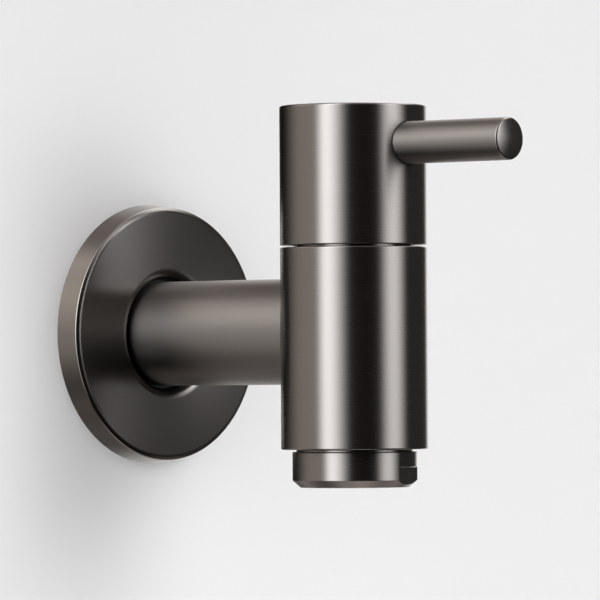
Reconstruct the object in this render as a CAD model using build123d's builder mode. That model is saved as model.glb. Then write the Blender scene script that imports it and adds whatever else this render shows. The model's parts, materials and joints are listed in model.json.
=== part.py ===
"""A wall-mounted mop sink faucet with a quarter-turn ceramic valve.

Sizes are in millimetres. The origin is the centre of the inlet on the finished wall,
+Z is up, and the faucet stands out from the wall towards -Y. A height is measured
from the inlet axis, and a reach is measured out from the wall or from an axis.
"""
import os
from math import cos, radians, sin, tan

from build123d import *

# Layout of the body on the wall
wall_to_axis = 65.0
body_dia = 33.0
body_above_inlet = 18.7
body_below_inlet = 26.6
body_edge = 0.35

# Pipe thread of the inlet and of the valve, size G1/2
pipe_thread_dia = 20.955
pipe_thread_pitch = 1.814
pipe_thread_depth = 1.162
pipe_thread_crest = 0.302
thread_flank = 27.5
inlet_turns = 7
thread_relief = 1.3
thread_gap = 0.05

# Inlet shank, brazed into the body
shank_dia = 24.0
shank_set_back = 1.0
waterway_dia = 14.0
spigot_dia = 17.0
spigot_seat = 11.0
braze_gap = 0.05

# Escutcheon, which slides along the shank
escutcheon_dia = 60.0
rim_taper = 0.8
rim_bevel_width = 0.9
rim_bevel_depth = 0.55
escutcheon_depth = 6.25
face_crown = 0.45
escutcheon_sheet = 1.0
escutcheon_hole_gap = 0.6
hole_roll = 2.5
collar_length = 5.75
grip_groove_depth = 0.5
grip_groove_width = 2.0
grip_set_back = 3.35
grip_gap = 0.05

# Waterways inside the body
seat_below_inlet = 10.5
outlet_dia = 11.0
tapping_allowance = 0.1
body_thread_length = 6.9
recess_depth = 9.0
lead_in = 0.4

# Valve housing
flange_overhang = 2.72
flange_thickness = 1.8
hex_across_flats = 22.0
hex_height = 6.0
neck_dia = 16.0
bonnet_height = 12.8
barrel_gap = 0.4
barrel_wall = 1.5
housing_ring_section = 1.64
ring_fit = 0.05
window_width = 9.0

# Ceramic discs and their seal, in one stack above the seat
seal_height = 2.85
seal_stand = 1.9
seal_wall = 1.7
stator_thickness = 2.9
rotor_thickness = 3.0
disc_film = 0.03
disc_gap = 0.15
port_half_angle = 40.0
port_bridge = 1.6
rotor_wing_half_angle = 48.0
rotor_hub_dia = 6.4
ear_width = 3.0
ear_gap = 0.06

# Spindle
spindle_dia = 9.8
spindle_fit = 0.06
driver_dia = 14.4
driver_thickness = 2.0
blade_width = 4.8
blade_length = 12.8
blade_height = 6.0
tongue_depth = 1.2
slip_washer_thickness = 0.8
running_gap = 0.03
spindle_ring_section = 1.2
first_ring_above_ledge = 5.0
ring_spacing = 8.0
spline_dia = 8.0
spline_depth = 0.4
spline_teeth = 20
spline_fit = 0.08
spindle_past_lever = 2.8
socket_headroom = 0.5

# Quarter-turn stop and circlip
quarter_turn = 90.0
stop_ear_half_angle = 20.0
stop_play = 0.5
stop_ring_thickness = 1.6
crown_height = 1.8
crown_wall = 2.0
circlip_thickness = 0.75
circlip_width = 1.8
circlip_groove_depth = 0.3
circlip_opening = 60.0

# Handle and lever
rest_turn = 3.0
seam_gap = 0.5
cavity_wall = 2.7
cavity_headroom = 1.5
lever_above_cavity = 6.3
handle_above_lever = 9.0
handle_crown = 0.25
handle_edge = 0.5
handle_lower_edge = 0.2
lever_dia = 9.5
lever_reach = 46.0
lever_seat_depth = 1.1
lever_end_crown = 0.42
lever_end_round = 0.45
stud_dia = 5.9
screw_length = 5.4
screw_room = 0.95
screw_key = 3.0
screw_key_depth = 2.4

# Aerator with a standard M24 thread
aerator_thread_dia = 24.0
aerator_ring_lip = 2.0
aerator_ring_height = 8.0
aerator_gap = 0.5
aerator_collar_inset = 0.9
ring_chamfer = 1.75
ring_chamfer_height = 1.6
spanner_flat_depth = 1.05
spanner_flat_below_top = 3.55
spanner_flat_turn = 21.0
aerator_washer_height = 1.9
aerator_washer_width = 2.6
core_flange_height = 1.7
core_flange_wall = 1.0
core_flange_stand = 0.3
aerator_wall = 1.8
core_fit = 0.1
core_wall = 1.1
core_bottom_inset = 1.1
core_lip = 0.6
strainer_thickness = 0.9
strainer_rim = 2.1
strainer_hole_dia = 1.0
strainer_hole_pitch = 1.9
jet_plate_thickness = 1.6
jet_plate_below_strainer = 1.8
jet_count = 24
jet_dia = 0.9
jet_circle_dia = 14.0
screen_thickness = 0.35
screen_hole = 1.1
screen_pitch = 1.6
grid_height = 3.0
grid_cell = 2.0
grid_pitch = 2.5
part_gap = 0.05

# Radii of the body and its waterways
body_r = body_dia / 2
body_top = body_above_inlet
body_bottom = -body_below_inlet
pipe_thread_r = pipe_thread_dia / 2
pipe_root_r = pipe_thread_r - pipe_thread_depth
chamber_r = pipe_root_r + tapping_allowance
seat_z = -seat_below_inlet
outlet_r = outlet_dia / 2
recess_r = aerator_thread_dia / 2 + thread_gap
recess_top = body_bottom + recess_depth
waterway_r = waterway_dia / 2
spigot_r = spigot_dia / 2
shank_r = shank_dia / 2

# Counterbore in the body's top for the housing's O-ring
housing_ring_depth = housing_ring_section + 2 * ring_fit
housing_neck_r = pipe_root_r + part_gap
housing_recess_r = housing_neck_r + housing_ring_depth
body_thread_end = body_top - housing_ring_depth - body_thread_length

# Heights of the disc stack, from the seat upwards
stator_bottom = seat_z + seal_height
stator_top = stator_bottom + stator_thickness
rotor_bottom = stator_top + disc_film
rotor_top = rotor_bottom + rotor_thickness
driver_bottom = rotor_top + blade_height
driver_top = driver_bottom + driver_thickness
washer_top = driver_top + running_gap + slip_washer_thickness
ledge_z = washer_top + running_gap
barrel_bottom = seat_z + seal_stand
barrel_r = chamber_r - barrel_gap
barrel_bore_r = barrel_r - barrel_wall
disc_r = barrel_bore_r - disc_gap
seal_r = barrel_bore_r - part_gap

# Heights above the body, up to the top of the handle
flange_r = pipe_thread_r + flange_overhang
crown_z = body_top + bonnet_height
stop_ring_z = crown_z + running_gap
circlip_z = stop_ring_z + stop_ring_thickness + running_gap
cavity_top = circlip_z + circlip_thickness + cavity_headroom
lever_z = cavity_top + lever_above_cavity
spindle_top = lever_z + spindle_past_lever
handle_bottom = body_top + seam_gap
handle_top = lever_z + handle_above_lever
handle_r = body_r
cavity_r = handle_r - cavity_wall
spindle_r = spindle_dia / 2
spindle_bore_r = spindle_r + spindle_fit
spline_r = spline_dia / 2
neck_r = neck_dia / 2
crown_r = neck_r - crown_wall

# Lever and its seat in the handle
lever_r = lever_dia / 2
lever_root = handle_r - lever_seat_depth
stud_r = stud_dia / 2
screw_root = spline_r + part_gap
stud_end = screw_root + screw_length + screw_room

# Heights of the aerator, from the body downwards
ring_top = body_bottom - aerator_gap
ring_bottom = ring_top - aerator_ring_height
ring_r = aerator_thread_dia / 2 + aerator_ring_lip
aerator_collar_r = ring_r - aerator_collar_inset
aerator_collar_top = body_bottom - part_gap
washer_bottom = recess_top - aerator_washer_height
core_top = washer_bottom - part_gap
aerator_top = core_top - core_flange_stand
flange_bottom = core_top - core_flange_height
core_flange_r = aerator_thread_dia / 2 - core_flange_wall
aerator_bore_r = aerator_thread_dia / 2 - aerator_wall
core_r = aerator_bore_r - core_fit
core_bore_r = core_r - core_wall
core_bottom = ring_bottom + core_bottom_inset
strainer_r = core_flange_r - strainer_rim
strainer_bottom = core_top - strainer_thickness
jet_plate_top = strainer_bottom - jet_plate_below_strainer
jet_plate_bottom = jet_plate_top - jet_plate_thickness
grid_r = core_bore_r - part_gap
grid_bottom = core_bottom + core_lip + part_gap
grid_top = grid_bottom + grid_height

# Section planes, on which x is a radius and y a height or a reach
upright_origin = (0, -wall_to_axis, 0)
upright = Plane(origin=upright_origin)
upright_section = Plane(origin=upright_origin, x_dir=(1, 0, 0), z_dir=(0, -1, 0))
upright_axis = Axis(upright_origin, (0, 0, 1))
wall_section = Plane(origin=(0, 0, 0), x_dir=(1, 0, 0), z_dir=(0, 0, -1))
inlet_axis = Axis((0, 0, 0), (0, 1, 0))
towards_wall = Plane(origin=upright_origin, z_dir=(0, 1, 0))

# The handle is drawn as it rests, a few degrees off its closed stop
handle_x = (cos(radians(rest_turn)), sin(radians(rest_turn)), 0)
lever_direction = (sin(radians(rest_turn)), -cos(radians(rest_turn)), 0)
handle_plane = Plane(origin=upright_origin, x_dir=handle_x, z_dir=(0, 0, 1))
lever_origin = (0, -wall_to_axis, lever_z)
lever_section = Plane(origin=lever_origin, x_dir=handle_x, z_dir=(0, 0, -1))
lever_axis = Axis(lever_origin, lever_direction)
along_lever = Plane(origin=lever_origin, x_dir=handle_x, z_dir=lever_direction)


def spline_outline(outer_r):
    """Corner points of the toothed shaft: crests and roots in turn."""
    points = []
    for step in range(2 * spline_teeth):
        radius = outer_r if step % 2 == 0 else outer_r - spline_depth
        angle = radians(180.0 * step / spline_teeth)
        points.append((radius * cos(angle), radius * sin(angle)))
    return points


def wedge(half_angle, reach):
    """Corner points of a wedge from the axis, centred on x."""
    side = reach * tan(radians(half_angle))
    return [(0, 0), (reach, -side), (reach, side)]


def rows_in_circle(pitch, limit_r):
    """Centres of staggered rows of holes, as many as fit in a circle."""
    row_height = pitch * sin(radians(60))
    rows = int(limit_r / row_height)
    columns = int(limit_r / pitch) + 1
    centres = []
    for row in range(-rows, rows + 1):
        for column in range(-columns, columns + 1):
            x = (column + 0.5 * (row % 2)) * pitch
            y = row * row_height
            if x * x + y * y <= limit_r * limit_r:
                centres.append((x, y))
    return centres


# Faucet body: a turned brass column with the valve above and the aerator below
with BuildPart() as faucet_body:
    with BuildSketch(upright_section):
        Polygon(
            (outlet_r, recess_top),
            (recess_r, recess_top),
            (recess_r, body_bottom + lead_in),
            (recess_r + lead_in, body_bottom),
            (body_r, body_bottom),
            (body_r, body_top),
            (housing_recess_r, body_top),
            (housing_recess_r, body_top - housing_ring_depth),
            (pipe_thread_r + thread_gap, body_top - housing_ring_depth),
            (pipe_thread_r + thread_gap, body_thread_end),
            (chamber_r, body_thread_end),
            (chamber_r, seat_z),
            (outlet_r, seat_z),
            align=None,
        )
    revolve(axis=upright_axis)
    outer_edges = faucet_body.edges().filter_by(GeomType.CIRCLE)
    fillet(outer_edges.filter_by(lambda edge: abs(edge.radius - body_r) < 0.001), body_edge)
    with BuildSketch(towards_wall.offset(spigot_seat)):
        Circle(spigot_r + braze_gap)
    extrude(amount=body_r, mode=Mode.SUBTRACT)
    with BuildSketch(towards_wall):
        Circle(waterway_r)
    extrude(amount=body_r, mode=Mode.SUBTRACT)
faucet_body.part.label = "faucet_body"

# Inlet shank: a pipe with a saddle end and a spigot, and the wall thread behind.
# The turns of the thread are drawn as rings, one pitch apart, and the pipe's
# shoulder stays short of the wall, so that the escutcheon can touch it.
crest_half = pipe_thread_crest / 2
flank_half = crest_half + pipe_thread_depth * tan(radians(thread_flank))
inlet_thread_length = inlet_turns * pipe_thread_pitch + thread_relief
with BuildPart() as inlet_shank:
    with BuildSketch(Plane.XZ.offset(shank_set_back)):
        Circle(shank_r)
    extrude(amount=wall_to_axis - shank_set_back)
    with BuildSketch(upright.offset(-shank_r)):
        Circle(body_r + braze_gap)
    extrude(amount=2 * shank_r, mode=Mode.SUBTRACT)
    with BuildSketch(Plane.XZ):
        Circle(spigot_r)
    extrude(amount=wall_to_axis - spigot_seat - braze_gap)
    with BuildSketch(wall_section):
        Polygon(
            (0, -inlet_thread_length),
            (pipe_root_r, -inlet_thread_length),
            (pipe_root_r, shank_set_back),
            (0, shank_set_back),
            align=None,
        )
        for turn in range(inlet_turns):
            centre = -thread_relief - (turn + 0.5) * pipe_thread_pitch
            Polygon(
                (pipe_root_r - part_gap, centre - flank_half),
                (pipe_root_r, centre - flank_half),
                (pipe_thread_r, centre - crest_half),
                (pipe_thread_r, centre + crest_half),
                (pipe_root_r, centre + flank_half),
                (pipe_root_r - part_gap, centre + flank_half),
                align=None,
            )
    revolve(axis=inlet_axis)
    with BuildSketch(Plane.XZ.offset(-inlet_thread_length)):
        Circle(waterway_r)
    extrude(amount=inlet_thread_length + wall_to_axis, mode=Mode.SUBTRACT)
inlet_shank.part.label = "inlet_shank"

# Escutcheon: a shallow turned dish with a bevelled rim, a slightly crowned face and a
# rolled hole
escutcheon_r = escutcheon_dia / 2
front_r = escutcheon_r - rim_taper
face_r = front_r - rim_bevel_width
face_rim_out = escutcheon_depth - face_crown
hole_r = shank_r + escutcheon_hole_gap
groove_r = hole_r + grip_groove_depth
collar_r = groove_r + escutcheon_sheet
groove_front = escutcheon_depth - grip_set_back
groove_back = groove_front - grip_groove_width
with BuildPart() as escutcheon:
    with BuildSketch(wall_section):
        with BuildLine():
            TangentArc(
                (hole_r, escutcheon_depth),
                (face_r, face_rim_out),
                tangent=(1, 0),
            )
            Polyline(
                (face_r, face_rim_out),
                (front_r, face_rim_out - rim_bevel_depth),
                (escutcheon_r, 0),
                (escutcheon_r - escutcheon_sheet, 0),
                (front_r - escutcheon_sheet, face_rim_out - escutcheon_sheet),
                (collar_r, escutcheon_depth - escutcheon_sheet),
                (collar_r, escutcheon_depth - collar_length),
                (hole_r, escutcheon_depth - collar_length),
                (hole_r, groove_back),
                (groove_r, groove_back),
                (groove_r, groove_front),
                (hole_r, groove_front),
                (hole_r, escutcheon_depth),
            )
        make_face()
    revolve(axis=inlet_axis)
    front_edges = escutcheon.edges().group_by(Axis.Y)[0]
    fillet(front_edges.sort_by(SortBy.RADIUS)[0], hole_roll)
escutcheon.part.label = "escutcheon"

# Grip ring: soft rubber in the collar's groove, which holds the escutcheon on the shank
with BuildPart() as escutcheon_grip_ring:
    with BuildSketch(wall_section):
        Polygon(
            (shank_r + grip_gap, groove_back + part_gap),
            (groove_r - part_gap, groove_back + part_gap),
            (groove_r - part_gap, groove_front - part_gap),
            (shank_r + grip_gap, groove_front - part_gap),
            align=None,
        )
    revolve(axis=inlet_axis)
escutcheon_grip_ring.part.label = "escutcheon_grip_ring"

# Valve housing: the brass headwork, screwed into the body from above
hex_bottom = body_top + flange_thickness
hex_top = hex_bottom + hex_height
window_bottom = rotor_top + disc_film
window_height = driver_bottom - window_bottom
castle_half_angle = (180 - quarter_turn) / 2 - stop_ear_half_angle - stop_play
castle_centre = (180 + quarter_turn) / 2
with BuildPart() as cartridge_housing:
    with BuildSketch(upright_section):
        Polygon(
            (spindle_bore_r, crown_z),
            (neck_r, crown_z),
            (neck_r, hex_bottom),
            (flange_r, hex_bottom),
            (flange_r, body_top),
            (housing_neck_r, body_top),
            (housing_neck_r, body_top - housing_ring_depth),
            (pipe_thread_r, body_top - housing_ring_depth),
            (pipe_thread_r, body_thread_end + part_gap),
            (barrel_r, body_thread_end + part_gap),
            (barrel_r, barrel_bottom),
            (barrel_bore_r, barrel_bottom),
            (barrel_bore_r, ledge_z),
            (spindle_bore_r, ledge_z),
            align=None,
        )
    revolve(axis=upright_axis)
    with BuildSketch(upright.offset(hex_bottom)):
        RegularPolygon(hex_across_flats / 2, 6, major_radius=False)
        Circle(neck_r - part_gap, mode=Mode.SUBTRACT)
    extrude(amount=hex_height)
    with BuildSketch(upright.offset(window_bottom)):
        Rectangle(3 * barrel_r, window_width)
        Rectangle(window_width, 3 * barrel_r)
    extrude(amount=window_height, mode=Mode.SUBTRACT)
    with BuildSketch(upright.offset(barrel_bottom)):
        with PolarLocations(0, 2, start_angle=45):
            Rectangle(3 * barrel_r, ear_width + 2 * ear_gap)
    extrude(amount=stator_top - barrel_bottom, mode=Mode.SUBTRACT)
    with BuildSketch(upright.offset(crown_z)):
        with PolarLocations(0, 2, start_angle=castle_centre):
            Polygon(*wedge(castle_half_angle, 2 * neck_r), align=None)
        Circle(neck_r, mode=Mode.INTERSECT)
        Circle(crown_r, mode=Mode.SUBTRACT)
    extrude(amount=crown_height)
cartridge_housing.part.label = "cartridge_housing"

# O-ring under the housing's flange
housing_ring_r = housing_neck_r + housing_ring_depth / 2
with BuildPart() as housing_o_ring:
    with BuildSketch(upright_section):
        with Locations((housing_ring_r, body_top - housing_ring_depth / 2)):
            Circle(housing_ring_section / 2)
    revolve(axis=upright_axis)
housing_o_ring.part.label = "housing_o_ring"

# Seat seal: a rubber ring squeezed between the fixed disc and the body's seat
with BuildPart() as seat_seal:
    with BuildSketch(upright.offset(seat_z)):
        Circle(seal_r)
        Circle(seal_r - seal_wall, mode=Mode.SUBTRACT)
    extrude(amount=seal_height)
seat_seal.part.label = "seat_seal"

# Ports of the fixed disc: two wedges with rounded outer sides
port_r = seal_r - seal_wall
with BuildSketch() as ports:
    with PolarLocations(0, 2):
        Polygon(*wedge(port_half_angle, 2 * port_r), align=None)
    Circle(port_r, mode=Mode.INTERSECT)
    Circle(port_bridge, mode=Mode.SUBTRACT)

# Fixed ceramic disc, kept from turning by two ears in the barrel's notches
with BuildPart() as stator_disc:
    with BuildSketch(upright.offset(stator_bottom)):
        with PolarLocations(0, 2, start_angle=45):
            Rectangle(2 * barrel_r, ear_width)
        Circle(barrel_r, mode=Mode.INTERSECT)
        Circle(disc_r)
        add(ports.sketch, mode=Mode.SUBTRACT)
    extrude(amount=stator_thickness)
stator_disc.part.label = "stator_disc"

# Turning ceramic disc: two wings on a hub, slotted for the spindle's tongue
with BuildPart() as rotor_disc:
    with BuildSketch(handle_plane.offset(rotor_bottom)):
        with PolarLocations(0, 2):
            Polygon(*wedge(rotor_wing_half_angle, 2 * disc_r), align=None)
        Circle(disc_r, mode=Mode.INTERSECT)
        Circle(rotor_hub_dia / 2)
    extrude(amount=rotor_thickness)
    with BuildSketch(handle_plane.offset(rotor_top)):
        Rectangle(blade_length + 2 * part_gap, blade_width + 2 * part_gap)
    extrude(amount=-tongue_depth - part_gap, mode=Mode.SUBTRACT)
rotor_disc.part.label = "rotor_disc"

# Spindle: blade, driver plate, sealed shaft and toothed end, turned from one bar
lower_ring_z = ledge_z + first_ring_above_ledge
upper_ring_z = lower_ring_z + ring_spacing
ring_groove_half = spindle_ring_section / 2 + ring_fit
ring_groove_r = spindle_bore_r - spindle_ring_section - 2 * ring_fit
with BuildPart() as spindle:
    with BuildSketch(upright_section):
        Polygon(
            (0, driver_bottom),
            (driver_dia / 2, driver_bottom),
            (driver_dia / 2, driver_top),
            (spindle_r, driver_top),
            (spindle_r, crown_z),
            (0, crown_z),
            align=None,
        )
        for ring_z in (lower_ring_z, upper_ring_z):
            with Locations((ring_groove_r, ring_z)):
                Rectangle(
                    spindle_r,
                    2 * ring_groove_half,
                    align=(Align.MIN, Align.CENTER),
                    mode=Mode.SUBTRACT,
                )
    revolve(axis=upright_axis)
    with BuildSketch(handle_plane.offset(crown_z)):
        Polygon(*spline_outline(spline_r), align=None)
    extrude(amount=spindle_top - crown_z)
    with BuildSketch(handle_plane.offset(circlip_z - part_gap)):
        Circle(spline_r + spline_depth)
        Circle(spline_r - spline_depth - circlip_groove_depth, mode=Mode.SUBTRACT)
    extrude(amount=circlip_thickness + 2 * part_gap, mode=Mode.SUBTRACT)
    with BuildSketch(handle_plane.offset(rotor_top - tongue_depth)):
        Rectangle(blade_length, blade_width)
    extrude(amount=blade_height + tongue_depth)
spindle.part.label = "spindle"

# Two O-rings in the spindle's grooves
spindle_ring_r = spindle_bore_r - ring_fit - spindle_ring_section / 2
with BuildPart() as spindle_o_ring_lower:
    with BuildSketch(upright_section):
        with Locations((spindle_ring_r, lower_ring_z)):
            Circle(spindle_ring_section / 2)
    revolve(axis=upright_axis)
spindle_o_ring_lower.part.label = "spindle_o_ring_lower"

with BuildPart() as spindle_o_ring_upper:
    with BuildSketch(upright_section):
        with Locations((spindle_ring_r, upper_ring_z)):
            Circle(spindle_ring_section / 2)
    revolve(axis=upright_axis)
spindle_o_ring_upper.part.label = "spindle_o_ring_upper"

# Slip washer between the driver plate and the housing's ledge
with BuildPart() as slip_washer:
    with BuildSketch(upright.offset(driver_top + running_gap)):
        Circle(driver_dia / 2)
        Circle(spindle_r + part_gap, mode=Mode.SUBTRACT)
    extrude(amount=slip_washer_thickness)
slip_washer.part.label = "slip_washer"

# Stop ring: its two ears swing between the castles of the housing's crown
with BuildPart() as stop_ring:
    with BuildSketch(handle_plane.offset(stop_ring_z)):
        with PolarLocations(0, 2):
            Polygon(*wedge(stop_ear_half_angle, 2 * neck_r), align=None)
        Circle(neck_r, mode=Mode.INTERSECT)
        Circle(crown_r - spline_fit)
        Polygon(*spline_outline(spline_r + spline_fit), align=None, mode=Mode.SUBTRACT)
    extrude(amount=stop_ring_thickness)
stop_ring.part.label = "stop_ring"

# Circlip: an open spring ring in the spindle's groove, over the stop ring
circlip_r = spline_r - spline_depth - circlip_groove_depth + part_gap
with BuildPart() as spindle_circlip:
    with BuildSketch(handle_plane.offset(circlip_z)):
        Circle(circlip_r + circlip_width)
        Circle(circlip_r, mode=Mode.SUBTRACT)
        Polygon(*wedge(circlip_opening / 2, 2 * spline_r), align=None, mode=Mode.SUBTRACT)
    extrude(amount=circlip_thickness)
spindle_circlip.part.label = "spindle_circlip"

# Handle: a turned cap over the headwork, with a toothed socket and a lever seat
with BuildPart() as handle_shell:
    with BuildSketch(upright_section):
        with BuildLine():
            Polyline(
                (handle_r, handle_top - handle_crown),
                (handle_r, handle_bottom),
                (cavity_r, handle_bottom),
                (cavity_r, cavity_top),
                (0, cavity_top),
                (0, handle_top),
            )
            TangentArc((0, handle_top), (handle_r, handle_top - handle_crown), tangent=(1, 0))
        make_face()
    revolve(axis=upright_axis)
    rims = handle_shell.edges().filter_by(GeomType.CIRCLE)
    rims = rims.filter_by(lambda edge: abs(edge.radius - handle_r) < 0.001).sort_by(Axis.Z)
    fillet(rims[0], handle_lower_edge)
    rims = handle_shell.edges().filter_by(GeomType.CIRCLE)
    rims = rims.filter_by(lambda edge: abs(edge.radius - handle_r) < 0.001).sort_by(Axis.Z)
    fillet(rims[-1], handle_edge)
    with BuildSketch(handle_plane.offset(cavity_top)):
        Polygon(*spline_outline(spline_r + spline_fit), align=None)
    extrude(amount=spindle_top + socket_headroom - cavity_top, mode=Mode.SUBTRACT)
    with BuildSketch(along_lever):
        Circle(stud_r + thread_gap)
    extrude(amount=handle_r, mode=Mode.SUBTRACT)
    with BuildSketch(along_lever.offset(lever_root)):
        Circle(lever_r + part_gap)
    extrude(amount=handle_r, mode=Mode.SUBTRACT)
handle_shell.part.label = "handle_shell"

# Lever: a round rod with a slightly domed end, screwed into the side of the handle
with BuildPart() as lever_rod:
    with BuildSketch(lever_section):
        with BuildLine():
            Polyline(
                (lever_r, lever_reach - lever_end_crown),
                (lever_r, lever_root + part_gap),
                (stud_r, lever_root + part_gap),
                (stud_r, stud_end),
                (0, stud_end),
                (0, lever_reach),
            )
            TangentArc((0, lever_reach), (lever_r, lever_reach - lever_end_crown), tangent=(1, 0))
        make_face()
    revolve(axis=lever_axis)
    rims = lever_rod.edges().filter_by(GeomType.CIRCLE)
    rims = rims.filter_by(lambda edge: abs(edge.radius - lever_r) < 0.001).sort_by(lever_axis)
    fillet(rims[-1], lever_end_round)
lever_rod.part.label = "lever_rod"

# Set screw: at the bottom of the lever's hole, pressed on the spindle
with BuildPart() as handle_set_screw:
    with BuildSketch(along_lever.offset(screw_root)):
        Circle(stud_r)
    extrude(amount=screw_length)
    with BuildSketch(along_lever.offset(screw_root + screw_length)):
        RegularPolygon(screw_key / 2, 6, major_radius=False)
    extrude(amount=-screw_key_depth, mode=Mode.SUBTRACT)
handle_set_screw.part.label = "handle_set_screw"

# Aerator housing: an M24 threaded sleeve with a bevelled ring under it. The collar
# between them stops against the body, and the ring has two flats for a spanner.
aerator_thread_r = aerator_thread_dia / 2
flat_distance = ring_r - spanner_flat_depth
flat_plane = Plane(
    origin=(0, -wall_to_axis, ring_top - spanner_flat_below_top),
    x_dir=(cos(radians(spanner_flat_turn)), sin(radians(spanner_flat_turn)), 0),
    z_dir=(0, 0, 1),
)
with BuildPart() as aerator_housing:
    with BuildSketch(upright_section):
        Polygon(
            (core_flange_r, aerator_top),
            (aerator_thread_r, aerator_top),
            (aerator_thread_r, aerator_collar_top),
            (aerator_collar_r, aerator_collar_top),
            (aerator_collar_r, ring_top),
            (ring_r, ring_top),
            (ring_r, ring_bottom + ring_chamfer_height),
            (ring_r - ring_chamfer, ring_bottom),
            (aerator_bore_r, ring_bottom),
            (aerator_bore_r, flange_bottom - part_gap),
            (core_flange_r, flange_bottom - part_gap),
            align=None,
        )
    revolve(axis=upright_axis)
    with BuildSketch(flat_plane):
        Rectangle(4 * ring_r, 4 * ring_r)
        Rectangle(4 * ring_r, 2 * flat_distance, mode=Mode.SUBTRACT)
    extrude(amount=-aerator_ring_height, mode=Mode.SUBTRACT)
aerator_housing.part.label = "aerator_housing"

# Washer between the body's recess and the aerator insert
washer_outer_r = core_flange_r - part_gap
with BuildPart() as aerator_washer:
    with BuildSketch(upright.offset(washer_bottom)):
        Circle(washer_outer_r)
        Circle(washer_outer_r - aerator_washer_width, mode=Mode.SUBTRACT)
    extrude(amount=aerator_washer_height - part_gap)
aerator_washer.part.label = "aerator_washer"

# Insert: the plastic core with its plate of jets
with BuildPart() as aerator_core:
    with BuildSketch(upright_section):
        Polygon(
            (0, jet_plate_top),
            (strainer_r - core_fit, jet_plate_top),
            (strainer_r - core_fit, strainer_bottom - part_gap),
            (strainer_r + part_gap, strainer_bottom - part_gap),
            (strainer_r + part_gap, core_top),
            (core_flange_r - part_gap, core_top),
            (core_flange_r - part_gap, flange_bottom),
            (core_r, flange_bottom),
            (core_r, core_bottom),
            (core_bore_r - core_lip, core_bottom),
            (core_bore_r - core_lip, core_bottom + core_lip),
            (core_bore_r, core_bottom + core_lip),
            (core_bore_r, jet_plate_bottom),
            (0, jet_plate_bottom),
            align=None,
        )
    revolve(axis=upright_axis)
    with BuildSketch(upright.offset(jet_plate_bottom)):
        with PolarLocations(jet_circle_dia / 2, jet_count):
            Circle(jet_dia / 2)
    extrude(amount=jet_plate_thickness, mode=Mode.SUBTRACT)
aerator_core.part.label = "aerator_core"

# Strainer: a perforated disc on top of the insert
with BuildPart() as aerator_strainer:
    with BuildSketch(upright.offset(strainer_bottom)):
        Circle(strainer_r)
        with Locations(*rows_in_circle(strainer_hole_pitch, strainer_r - strainer_hole_pitch / 2)):
            Circle(strainer_hole_dia / 2, mode=Mode.SUBTRACT)
    extrude(amount=strainer_thickness)
aerator_strainer.part.label = "aerator_strainer"

# Outlet grid: straight cells that calm the stream
with BuildPart() as aerator_grid:
    with BuildSketch(upright.offset(grid_bottom)):
        Circle(grid_r)
        with Locations(*rows_in_circle(grid_pitch, grid_r - grid_cell * 2 / 3)):
            RegularPolygon(grid_cell / 2, 6, major_radius=False, rotation=30, mode=Mode.SUBTRACT)
    extrude(amount=grid_height)
aerator_grid.part.label = "aerator_grid"

# Two wire screens, pressed flat as one sheet each, lying on the grid
screen_centres = rows_in_circle(screen_pitch, grid_r - screen_pitch / 2)
lower_screen_z = grid_top + part_gap
upper_screen_z = lower_screen_z + screen_thickness + part_gap
with BuildPart() as aerator_screen_lower:
    with BuildSketch(upright.offset(lower_screen_z)):
        Circle(grid_r)
        with Locations(*screen_centres):
            Rectangle(screen_hole, screen_hole, mode=Mode.SUBTRACT)
    extrude(amount=screen_thickness)
aerator_screen_lower.part.label = "aerator_screen_lower"

with BuildPart() as aerator_screen_upper:
    with BuildSketch(upright.offset(upper_screen_z)):
        Circle(grid_r)
        with Locations(*screen_centres):
            Rectangle(screen_hole, screen_hole, mode=Mode.SUBTRACT)
    extrude(amount=screen_thickness)
aerator_screen_upper.part.label = "aerator_screen_upper"

pieces = [
    faucet_body,
    inlet_shank,
    escutcheon,
    escutcheon_grip_ring,
    cartridge_housing,
    housing_o_ring,
    seat_seal,
    stator_disc,
    rotor_disc,
    spindle,
    spindle_o_ring_lower,
    spindle_o_ring_upper,
    slip_washer,
    stop_ring,
    spindle_circlip,
    handle_shell,
    lever_rod,
    handle_set_screw,
    aerator_housing,
    aerator_washer,
    aerator_core,
    aerator_strainer,
    aerator_screen_upper,
    aerator_screen_lower,
    aerator_grid,
]
os.makedirs("parts", exist_ok=True)
for piece in pieces:
    export_step(piece.part, f"parts/{piece.part.label}.step")
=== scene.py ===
# %% [markdown]
# # A wall-mounted mop sink faucet in satin gunmetal
#
# The faucet is a set of turned pieces: an upright body, a cap over it that turns, a
# round lever in the cap's side, an inlet pipe with a wall flange, and an aerator below.
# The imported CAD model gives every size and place. This lesson dresses it: the pieces
# that show are drawn again as fine surfaces worked out with numpy, and every piece gets
# a procedural finish. A lathe leaves circular lines on all of them, so one shared
# pattern of turned lines carries most of the look.

# %% Load the CAD frame
import json
import math
from collections import namedtuple

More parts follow.
